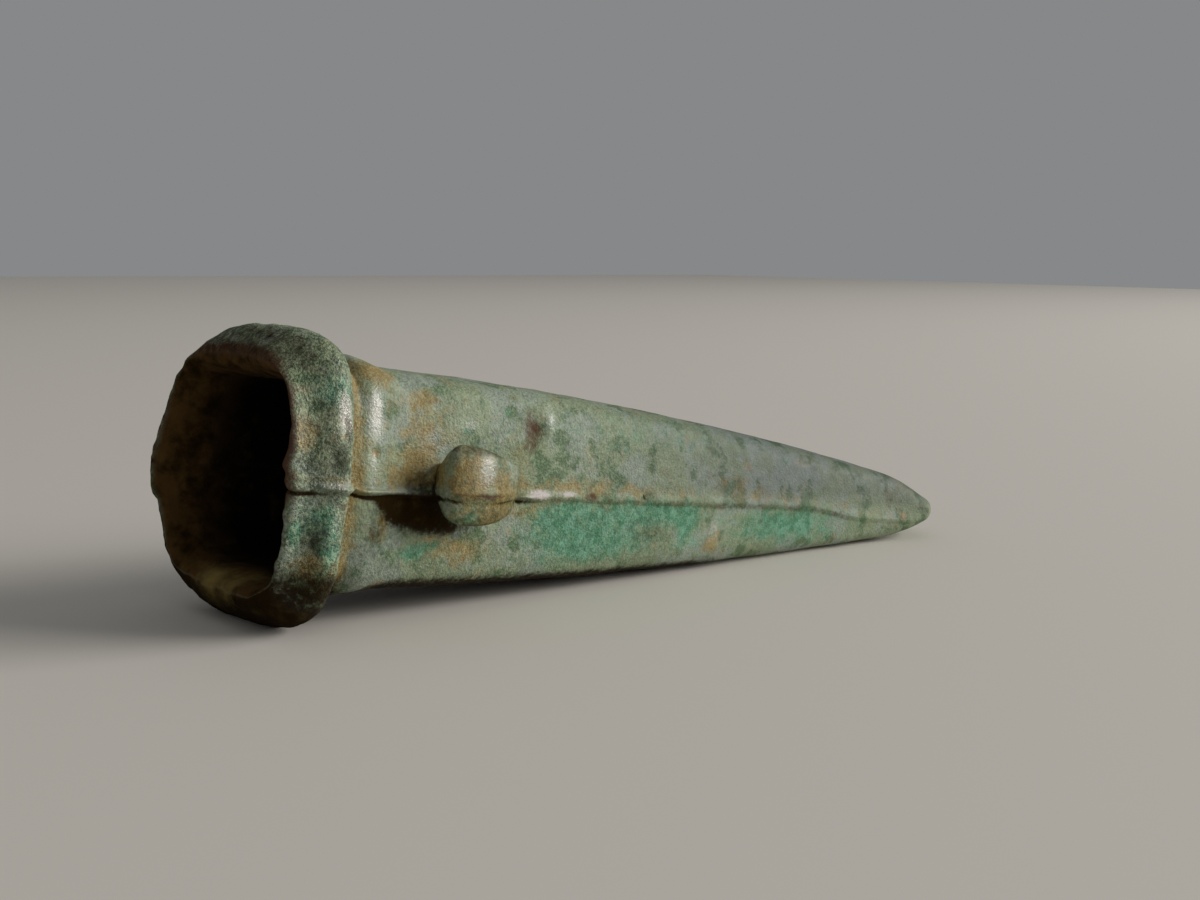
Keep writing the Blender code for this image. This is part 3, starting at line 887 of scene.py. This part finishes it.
def features(form, data):
    """How much each vertex belongs to each feature of the casting."""
    x, y, z = positions(data).T
    inner = smooth_step(kept_values(data, "inner") * 2.0 - 0.5)
    outer = 1.0 - inner
    _, seam, lower = form.heights(x)
    flank = ramp(np.abs(y) - form.body_half_width, -2.2, 1)
    collar = ramp(-x, -8.6, 1)
    on_loop = ramp(-y - form.body_half_width, 1.6, 1) * (x > 15.0 * MM)
    side = np.where(y < 0, -1.0, 1.0)
    above = z - np.where(on_loop > 0.5, LOOP_FIN_RISE, seam + flash_line(x, side))
    line = (1.0 - smooth_step((x / form.length - 0.8) / 0.12)) * flank
    late = past_loop(x)
    fin = line * hump(above, 0, 0.4) * (1.0 - late) * (1.0 - on_loop) * (1.0 - 0.5 * collar)
    # The band along the lower edge of the body, which is made darker towards the bottom.
    foot = smooth_step((0.81 * lower - z) / (-0.16 * lower)) * (1.0 - ramp(x, 70, 20))
    return {
        "inner": inner,
        "outer": outer,
        "groove": hump(x, 9.3, 1.5) * outer,
        "lip": kept_values(data, "lip") * (1.0 - 0.4 * ramp(-z, 1, 1)),
        "far lip": ramp(y, 12, 3) * (1.0 - ramp(x, 2, 3)),
        "crest": ramp(z, 12, 4) * (1.0 - ramp(x, 2.5, 3)),
        # The lower collar, which takes painted shade.
        "below": ramp(-z, 7, 6) * ramp(-x, -12, 3),
        "foot": foot,
        "hollows": kept_values(data, "hollows"),
        "fin": fin,
        "late fin": line * hump(above, -0.3, 0.7) * late,
        "over fin": line * hump(above, 1.2, 1.4),
        "over late fin": line * hump(above, 0.8, 1.4) * late,
        # The crevice under the fin, which takes soil and painted shade.
        "crevice": line * hump(above, -0.8, 0.3) * (0.2 + 0.6 * (1.0 - late) - 0.25 * collar),
        "loop": on_loop * hump(above, 0, 0.2),
        # The loop's upper and lower edges, whose oxide is partly painted shade.
        "rim": on_loop * ramp(np.abs(z - LOOP_RISE), 3.9, 0.8),
    }


def paint_shares(piece, form):
    """Keeps at each vertex how much of every finish it takes."""
    data = piece.data
    found = features(form, data)
    points = positions(data)
    share = {name: gathered(points, patches) for name, patches in PATCHES.items()}
    for name, held in HELD.items():
        for feature, strength in held.items():
            share[name] += strength * found[feature]
    x, z = points[:, 0], points[:, 2]
    share["dirt"] *= found["outer"]
    share["grain"] = coarseness(x) * found["outer"]
    # Painted shade on the upper flank towards the blade.
    share["dull"] = smooth_step((x / form.length - 0.3) / 0.4) * ramp(z, -2, 5)
    share["inner"] = found["inner"]
    share["along"] = np.clip(x / form.length, 0.0, 1.0)
    for name in ("inner", "hollows", "lip"):
        data.attributes.remove(data.attributes[name])
    for name, value in share.items():
        store(data, name, value)


def lay_down(piece, place):
    """Puts the mesh where it lies, and wears flat what would reach under the floor."""
    place = np.array(place)
    laid = positions(piece.data) @ place[:3, :3].T + place[:3, 3]
    laid[:, 2] = np.maximum(laid[:, 2], 0.0)
    piece.data.vertices.foreach_set("co", laid.astype(np.float32).ravel())
    piece.data.update()


class Patina:
    """Adds the nodes of one material. Each call returns the output that a later one reads."""

    def __init__(self, name):
        self.material = bpy.data.materials.new(name)
        self.material.use_nodes = True
        self.tree = self.material.node_tree
        self.shader = self.tree.nodes["Principled BSDF"]
        self.place = self.tree.nodes.new("ShaderNodeTexCoord").outputs["Object"]
        self.seed = 0.0

    def node(self, kind, inputs, **settings):
        made = self.tree.nodes.new(kind)
        for name, value in settings.items():
            setattr(made, name, value)
        for key, value in inputs.items():
            if isinstance(value, bpy.types.NodeSocket):
                self.tree.links.new(value, made.inputs[key])
            else:
                made.inputs[key].default_value = value
        return made

    def maths(self, operation, *values):
        return self.node("ShaderNodeMath", dict(enumerate(values)), operation=operation).outputs[0]

    def clouds(self, size, detail=3.0, roughness=0.6, distortion=0.0):
        """Soft patches of this size, about 0.5, each call with a pattern of its own."""
        self.seed += 3.7
        inputs = {"Vector": self.place, "W": self.seed, "Scale": 1.0 / size, "Detail": detail}
        inputs |= {"Roughness": roughness, "Distortion": distortion}
        made = self.node("ShaderNodeTexNoise", inputs, noise_dimensions="4D").outputs[0]
        return self.plus(made, 1.9, -0.45)

    def between(self, value, low, high):
        """0 below the low value, 1 above the high one, smooth between them."""
        inputs = {"Value": value, "From Min": low, "From Max": high}
        return self.node("ShaderNodeMapRange", inputs, interpolation_type="SMOOTHSTEP").outputs[0]

    def share(self, name):
        return self.node("ShaderNodeAttribute", {}, attribute_name=name).outputs["Fac"]

    def blend(self, share, one, other, blend_type="MIX"):
        inputs = {0: share, 6: one, 7: other}
        for key in (6, 7):
            if not isinstance(inputs[key], bpy.types.NodeSocket):
                inputs[key] = (*inputs[key], 1.0)
        made = self.node("ShaderNodeMix", inputs, data_type="RGBA", blend_type=blend_type)
        return made.outputs[2]

    def times(self, one, other):
        return self.maths("MULTIPLY", one, other)

    def plus(self, value, strength, other):
        """The other value with this one added at this strength."""
        return self.maths("MULTIPLY_ADD", value, strength, other)

    def limit(self, value, low, high):
        return self.maths("MINIMUM", self.maths("MAXIMUM", value, low), high)

    def finish(self, name, tone, colour):
        """The tone under a finish, which shows in ragged patches where its kept value is high."""
        size, detail, roughness, distortion, level, softness, rag = BORDERS[name]
        clouds = self.clouds(size * MM, detail, roughness, distortion)
        patchy = self.plus(clouds, rag, self.share(name))
        middle = level + rag / 2
        return self.blend(self.between(patchy, middle - softness, middle + softness), tone, colour)


# Clouds of colour over the sage crust: colour, size in millimetres and detail of the noise, and
# the values of it at which the colour starts and is full
CLOUDS = (
    ("grey_sage", 7, 3, 0.4, 0.65),
    ("deep_sage", 3.8, 4, 0.52, 0.72),
    ("grey_sage", 2.4, 4, 0.68, 0.9),
    ("tan", 4, 3, 0.64, 1),
    ("malachite", 2.6, 4, 0.75, 0.95),
)

# Borders of the finishes: size in millimetres, detail, roughness and distortion of their noise,
# then the share at which a finish shows, how soft its border is and how ragged
BORDERS = {
    "earth": (2.2, 4, 0.65, 0.4, 0.46, 0.3, 0.8),
    "green": (2, 5, 0.7, 0, 0.46, 0.36, 0.8),
    "deep": (0.8, 4, 0.7, 0, 0.5, 0.45, 0.8),
    "rust": (0.9, 4, 0.7, 0, 0.6, 0.4, 0.8),
    "dirt": (1, 4, 0.7, 0, 0.55, 0.35, 0.8),
    "crumbs": (2.6, 3, 0.6, 0, 0.5, 0.5, 0.5),
}


def crust_height(p):
    """Fine relief of the crust, about 0.5, with grains that stand proud of small crevices."""
    grains = p.clouds(0.36 * MM, 2.0, 0.75)
    return p.plus(p.clouds(1.2 * MM), 0.32, p.times(grains, 0.68))


def crust_colour(p, colours, height, grain):
    """The crust of the outside without its scars: clouds, earth, malachite and grain, with painted
    glints on the grain's tips and painted shade on the upper blade.
    """
    tone = colours.sage
    for name, size, detail, start, full in CLOUDS:
        share = p.between(p.clouds(size * MM, detail), start, full)
        tone = p.blend(share, tone, getattr(colours, name))
    share = p.between(p.clouds(2.0 * MM, 5.0, 0.75), 0.15, 0.65)
    tone = p.blend(p.times(grain, 0.85), tone, p.blend(share, colours.deep_sage, tone))
    tone = p.finish("earth", tone, colours.earth)
    share = p.between(p.clouds(1.2 * MM), 0.35, 0.7)
    tone = p.finish("green", tone, p.blend(share, colours.malachite, colours.verdigris))
    crevices = p.times(p.between(height, 0.47, 0.31), grain)
    tone = p.blend(p.times(crevices, 0.65), tone, colours.dark_crust_and_shade)
    # Pale tips of the grain, partly painted glints.
    tips = p.times(p.between(height, 0.47, 0.68), grain)
    tone = p.blend(p.times(tips, 0.66), tone, colours.pale_grain_and_glint)
    freckles = p.maths("SUBTRACT", p.clouds(0.7 * MM, 3.0, 0.65), 0.5)
    freckles = p.times(freckles, p.plus(grain, 0.9, 0.2))
    tone = p.blend(1.0, tone, p.maths("ADD", freckles, 1.0), "MULTIPLY")
    # Painted shade over the upper blade.
    return p.blend(p.share("dull"), tone, colours.blade_shade_tint, "MULTIPLY")


def bronze_colour(p, colours, tone):
    """The crust's tone with its scars, dark crust with painted shade, spots of wear with painted
    highlights, soil with painted shadow, and the soil in the socket with painted shade deep in it.
    """
    # Dark crust, and painted shade on the side loop and low on the collar.
    tone = p.finish("deep", tone, colours.dark_crust_and_shade)
    tone = p.finish("rust", tone, colours.red_oxide)
    # Pale bloom over spots of wear, and painted highlights on the collar, the moulding and the
    # loop.
    pale = p.blend(p.share("bloom"), colours.pale_bloom_and_highlight, colours.pink_bloom)
    worn = p.maths("ADD", p.share("worn"), p.share("bloom"))
    patchy = p.plus(p.clouds(0.5 * MM, 4.0, 0.75), 0.8, worn)
    tone = p.blend(p.between(patchy, 0.9, 1.5), tone, pale)
    tone = p.finish("dirt", tone, colours.soil)
    share = p.between(p.clouds(3.0 * MM, 4.0), 0.3, 0.8)
    soil = p.blend(share, colours.socket_earth, colours.soil)
    # Painted shade: near black deeper in the socket.
    soil = p.blend(p.between(p.share("along"), 0.0, 0.08), soil, colours.socket_shade)
    tone = p.blend(p.share("inner"), tone, soil)
    return p.finish("crumbs", tone, colours.earth)


def bronze_patina(colours):
    """Corroded bronze: sage crust with earth, malachite, dark grain, red oxide and spots of wear,
    with painted highlights, shadow and shade.
    """
    p = Patina("bronze patina")
    height = crust_height(p)
    grain = p.share("grain")
    worn = p.share("worn")
    tone = bronze_colour(p, colours, crust_colour(p, colours, height, grain))
    # The bump is deep where the crust is coarse, and shallow on spots of wear and painted
    # highlights.
    depth = p.plus(worn, -0.3, p.plus(grain, 1.0, 0.1))
    relief = p.times(height, p.maths("MAXIMUM", depth, 0.1))
    bump = p.node("ShaderNodeBump", {"Height": relief, "Distance": 0.3 * MM})
    # Soil, painted shade, oxide and dark crust are matt. Spots of wear and painted highlights
    # shine.
    matt = p.maths("ADD", p.maths("ADD", p.share("dirt"), p.share("inner")), p.share("rust"))
    matt = p.plus(p.share("deep"), 0.7, matt)
    shine = p.plus(matt, -0.3, p.plus(worn, 0.55, p.plus(grain, 0.15, 0.35)))
    roughness = p.plus(worn, -0.4, p.plus(p.clouds(1.4 * MM), 0.22, 0.56))
    roughness = p.plus(matt, 0.35, p.plus(grain, -0.1, roughness))
    for name, output in (
        ("Base Color", tone),
        ("Roughness", p.limit(roughness, 0.16, 1.0)),
        ("Specular IOR Level", p.limit(shine, 0.05, 1.0)),
        ("Normal", bump.outputs[0]),
    ):
        p.tree.links.new(output, p.shader.inputs[name])
    return p.material


def number(name, default, description, **more):
    return FloatProperty(name=name, default=default, description=description, min=0.0, **more)


def in_mm(name, default, description):
    """A length, with its default in millimetres."""
    return number(name, default * MM, description, unit="LENGTH", precision=5)


def rgb(name, default, description):
    kind = {"size": 3, "min": 0.0, "max": 1.0, "subtype": "COLOR"}
    return FloatVectorProperty(name=name, default=default, description=description, **kind)


class AxeHeadSizes(bpy.types.PropertyGroup):
    """Main sizes of the casting."""

    length: in_mm("Length", 131.0, "From the mouth to the cutting edge")
    body_half_width: in_mm("Body half width", 14.8, "From the axis to a flank")
    blade_flare: in_mm("Blade flare", 2.4, "Spread of each flank at the edge")
    body_half_thickness: in_mm("Body half thickness", 14.2, "At the mouth, without the collar")
    body_taper: in_mm("Body taper", 10.75, "Loss of each half at the edge")
    collar_length: in_mm("Collar length", 9.7, "From the mouth to the groove")
    collar_thickening: in_mm("Collar thickening", 4.3, "Rise over the broad faces")
    moulding_height: in_mm("Moulding height", 1.7, "Rise of the ring after the groove")
    socket_depth: in_mm("Socket depth", 90.0, "From the mouth to the socket's floor")
    wall_at_mouth: in_mm("Wall at the mouth", 1.4, "Thickness of the wall at the mouth")
    fin_height: in_mm("Fin height", 0.6, "Rise of the mould flash")
    loop_height: in_mm("Loop height", 6.3, "From the flank to the crown of the loop")
    loop_half_width: in_mm("Loop half width", 5.1, "At the crown")


class PatinaColours(bpy.types.PropertyGroup):
    """Colours of the crust on the bronze, with those of its painted highlights and shade."""

    sage: rgb("Sage crust", (0.208, 0.253, 0.152), "Most of the outside")
    grey_sage: rgb("Grey crust", (0.24, 0.284, 0.228), "Paler clouds of the outside")
    deep_sage: rgb("Deep green crust", (0.078, 0.132, 0.06), "Darker clouds of the outside")
    # Painted shade: the upper flank towards the blade is made darker.
    blade_shade_tint: rgb("Blade shade", (0.53, 0.54, 0.6), "Darkens the upper blade")
    tan: rgb("Tan crust", (0.3, 0.22, 0.12), "Pinkish tan clouds of the outside")
    earth: rgb("Burial earth", (0.25, 0.18, 0.058), "Ochre soil held by the crust")
    malachite: rgb("Malachite", (0.045, 0.185, 0.095), "Bright green corrosion")
    verdigris: rgb("Verdigris", (0.11, 0.285, 0.185), "Paler blue-green corrosion")
    # Partly painted glints on the grain's tips.
    pale_grain_and_glint: rgb("Pale grain", (0.37, 0.415, 0.255), "Rubbed tips of the collar's grain")
    # Also painted shade on the side loop and low on the collar, through the deep patches.
    dark_crust_and_shade: rgb("Dark grain", (0.02, 0.028, 0.008), "Green-black grain of the collar")
    red_oxide: rgb("Red oxide", (0.088, 0.046, 0.027), "Copper oxide at the lip and in scars")
    # Also the colour of the painted highlights on the collar, the moulding and the loop.
    pale_bloom_and_highlight: rgb("Highlight and pale bloom", (0.43, 0.415, 0.35), "Painted highlights and worn spots")
    pink_bloom: rgb("Pink bloom", (0.46, 0.41, 0.39), "Chalky spots past the loop")
    # Also the colour of the painted shadow round the side loop, and of the painted shade in the
    # crevice and under the collar.
    soil: rgb("Soil and shade", (0.018, 0.01, 0.002), "Soil and painted shade")
    socket_earth: rgb("Socket earth", (0.075, 0.04, 0.012), "Soil inside the mouth")
    # Painted shade deep in the socket.
    socket_shade: rgb("Socket dark", (0.004, 0.003, 0.002), "Painted shade deep in the socket")


class StageSettings(bpy.types.PropertyGroup):
    """Floor, lights and camera."""

    floor_colour: rgb("Floor", (0.66, 0.62, 0.56), "Plain pale floor")
    window_power: number("Window", 74.0, "Power of the soft light, in watts")
    sky_strength: number("Sky", 0.25, "Strength of the even light from all sides")
    lens: number("Lens", 47.978, "Focal length of the camera, in millimetres")


class AXEHEAD_OT_casting(bpy.types.Operator):
    """Builds the axe head as one cast piece with its patina"""

    bl_idname = "axehead.casting"
    bl_label = "Cast Axe Head"

    def execute(self, context):
        form = CastingForm(context.scene.axe_head_sizes)
        grid = casting_grid(form)
        place = resting_place(form, grid[0])
        points, hollows, lip = age_casting(form, *grid)
        rows, columns = points.shape[:2]
        inner = np.broadcast_to(grid[3], (rows, columns))
        faces = grid_faces(rows, columns, True)
        piece = mesh_piece("aged_axe_head", points, faces, hollows=hollows, inner=inner, lip=lip)
        unite(piece, make_loop(form))
        if not piece.data.polygons:
            raise RuntimeError("the loop and the casting didn't join")
        soften_feet(piece, form)
        paint_shares(piece, form)
        lay_down(piece, place)
        piece.data.materials.clear()
        piece.data.materials.append(bronze_patina(context.scene.axe_head_patina))
        piece.data.shade_smooth()
        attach(piece, "root")
        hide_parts(NODE)
        return {"FINISHED"}


def area_light(name, power, size, colour):
    """A rectangular light that faces along its own -Z."""
    light = bpy.data.lights.new(name, "AREA")
    light.shape = "RECTANGLE"
    light.size, light.size_y = size
    light.energy = power
    light.color = colour
    return add_object(name, light)


# The window's direction: from the loop's flank towards the edge, and above the floor
WINDOW_AWAY = 2.6
WINDOW_SIDE = math.radians(52)
WINDOW_ABOVE = math.radians(21)
WINDOW_SIZE = (1.8, 1.3)
WINDOW_COLOUR = (1.0, 0.985, 0.96)
SKY_COLOUR = (0.97, 0.985, 1.0)
FLOOR_HALF = 2.0
FLOOR_ROUGHNESS = 0.7
CAMERA_PLACE = (-160.49 * MM, -183.9 * MM, 48.96 * MM)
CAMERA_YAW = math.radians(40.803)
CAMERA_PITCH = math.radians(7.214)
CAMERA_ROLL = math.radians(0.705)


def add_camera(settings):
    """The camera looks along the head from beyond its mouth, a little from above."""
    data = bpy.data.cameras.new("camera")
    data.sensor_fit = "HORIZONTAL"
    data.sensor_width = 36.0
    data.lens = settings.lens
    data.clip_start = 0.01
    camera = add_object("camera", data)
    pose = Matrix.Translation(CAMERA_PLACE) @ Matrix.Rotation(-CAMERA_YAW, 4, "Z")
    pose = pose @ Matrix.Rotation(math.pi / 2 - CAMERA_PITCH, 4, "X")
    camera.matrix_world = pose @ Matrix.Rotation(CAMERA_ROLL, 4, "Z")
    bpy.context.scene.camera = camera


def floor_material(colour):
    material = bpy.data.materials.new("plain floor")
    material.use_nodes = True
    shader = material.node_tree.nodes["Principled BSDF"]
    shader.inputs["Base Color"].default_value = (*colour, 1.0)
    shader.inputs["Roughness"].default_value = FLOOR_ROUGHNESS
    return material


class AXEHEAD_OT_stage(bpy.types.Operator):
    """Adds the plain floor, the soft lights and the camera"""

    bl_idname = "axehead.stage"
    bl_label = "Set Up Stage"

    def execute(self, context):
        settings = context.scene.axe_head_stage
        signs = ((-1, -1), (1, -1), (1, 1), (-1, 1))
        corners = [(across * FLOOR_HALF, deep * FLOOR_HALF, 0.0) for across, deep in signs]
        data = bpy.data.meshes.new("floor")
        data.from_pydata(corners, [], [(0, 1, 2, 3)])
        data.materials.append(floor_material(settings.floor_colour))
        floor = add_object("floor", data)
        window = area_light("window", settings.window_power, WINDOW_SIZE, WINDOW_COLOUR)
        away = Vector((math.sin(WINDOW_SIDE), -math.cos(WINDOW_SIDE), math.tan(WINDOW_ABOVE)))
        window.location = WINDOW_AWAY * away.normalized()
        window.rotation_euler = away.to_track_quat("Z", "Y").to_euler()
        world = bpy.data.worlds.new("soft sky")
        world.use_nodes = True
        sky = world.node_tree.nodes["Background"]
        sky.inputs["Color"].default_value = (*SKY_COLOUR, 1.0)
        sky.inputs["Strength"].default_value = settings.sky_strength
        context.scene.world = world
        context.scene.view_settings.view_transform = "Standard"
        add_camera(settings)
        return {"FINISHED"}


class VIEW3D_PT_axe_head(bpy.types.Panel):
    """Sidebar panel with the sizes, the colours and the steps that build the axe head."""

    bl_label = "Axe Head"
    bl_space_type = "VIEW_3D"
    bl_region_type = "UI"
    bl_category = "Axe Head"

    def draw(self, context):
        for name in GROUPS:
            box = self.layout.box()
            group = getattr(context.scene, name)
            for setting in group.__annotations__:
                box.prop(group, setting)
        self.layout.operator(AXEHEAD_OT_casting.bl_idname)
        self.layout.operator(AXEHEAD_OT_stage.bl_idname)


GROUPS = {
    "axe_head_sizes": AxeHeadSizes,
    "axe_head_patina": PatinaColours,
    "axe_head_stage": StageSettings,
}
CLASSES = (*GROUPS.values(), AXEHEAD_OT_casting, AXEHEAD_OT_stage, VIEW3D_PT_axe_head)


def register():
    for one in CLASSES:
        bpy.utils.register_class(one)
    for name, group in GROUPS.items():
        setattr(bpy.types.Scene, name, PointerProperty(type=group))


def unregister():
    for name in GROUPS:
        delattr(bpy.types.Scene, name)
    for one in reversed(CLASSES):
        bpy.utils.unregister_class(one)


def main():
    register()
    bpy.ops.axehead.casting()
    bpy.ops.axehead.stage()
    bpy.context.view_layer.update()


if __name__ == "__main__":
    main()
